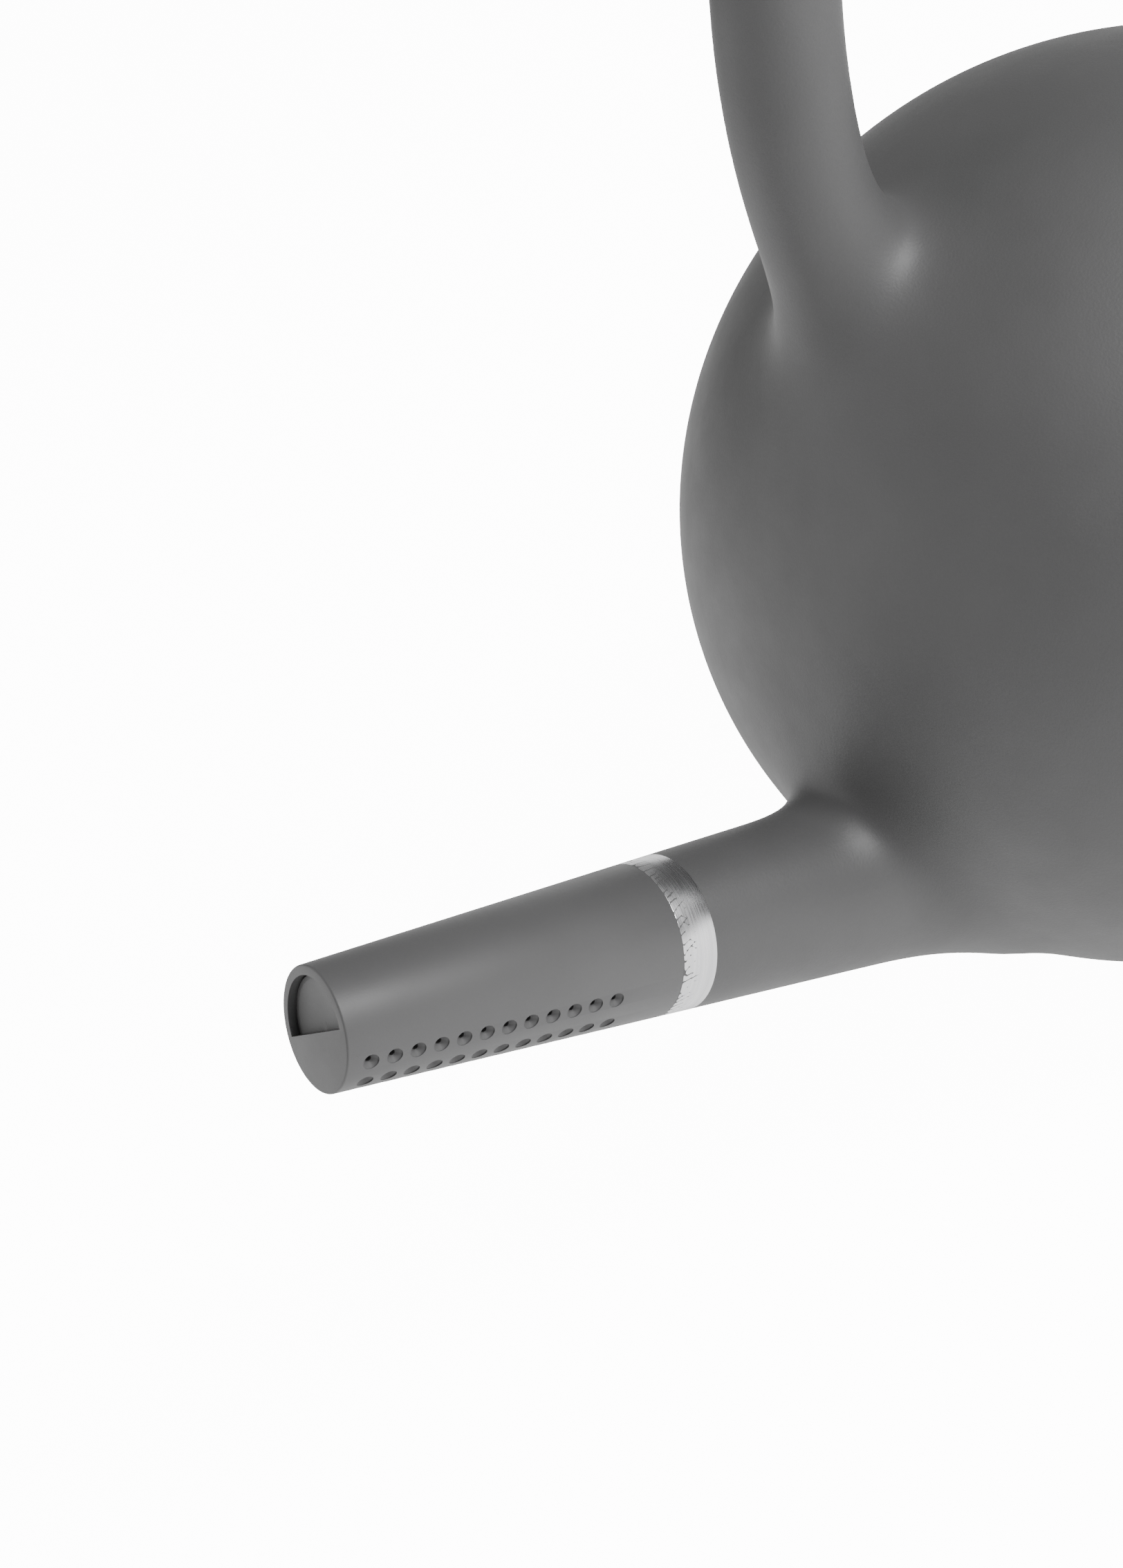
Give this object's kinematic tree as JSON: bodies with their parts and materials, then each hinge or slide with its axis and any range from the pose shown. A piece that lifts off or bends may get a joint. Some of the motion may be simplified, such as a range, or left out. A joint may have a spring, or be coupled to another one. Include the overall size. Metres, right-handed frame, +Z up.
{
  "type": "watering can",
  "caption": "Ball-shaped watering can with a looped tubular handle, a tapered spout and a turning rose that changes between shower and jet.",
  "frame": {"origin": "centre of the flat base, on the surface that the can stands on, straight below the centre of the ball-shaped tank", "axes": "+X forward, towards the spout; +Y to the can's left; +Z up. The XZ plane is the plane of symmetry"},
  "size_m": [0.4892, 0.258, 0.372],
  "materials": {
    "body_plastic": "fine-grained satin dark grey moulding",
    "rose_plastic": "fine-grained satin dark grey moulding",
    "inner_plastic": "smooth black moulding",
    "seal_rubber": "matte black rubber",
    "steel": "brushed round the ring"
  },
  "bodies": {
    "can": {"tank": "body_plastic", "handle_front": "body_plastic", "handle_rear": "body_plastic", "spout": "body_plastic", "socket_bush": "inner_plastic", "diverter": "rose_plastic"},
    "rose_head": {"coupling": "inner_plastic", "sealing_rings": "seal_rubber", "steel_ring": "steel", "rose": "rose_plastic"}
  },
  "joints": [
    {"name": "rose_turn", "type": "hinge", "parent": "can", "child": "rose_head", "pos_m": [0.18895, 0, 0.13105], "axis": [0.8192, 0, 0.5736], "continuous": true}
  ]
}
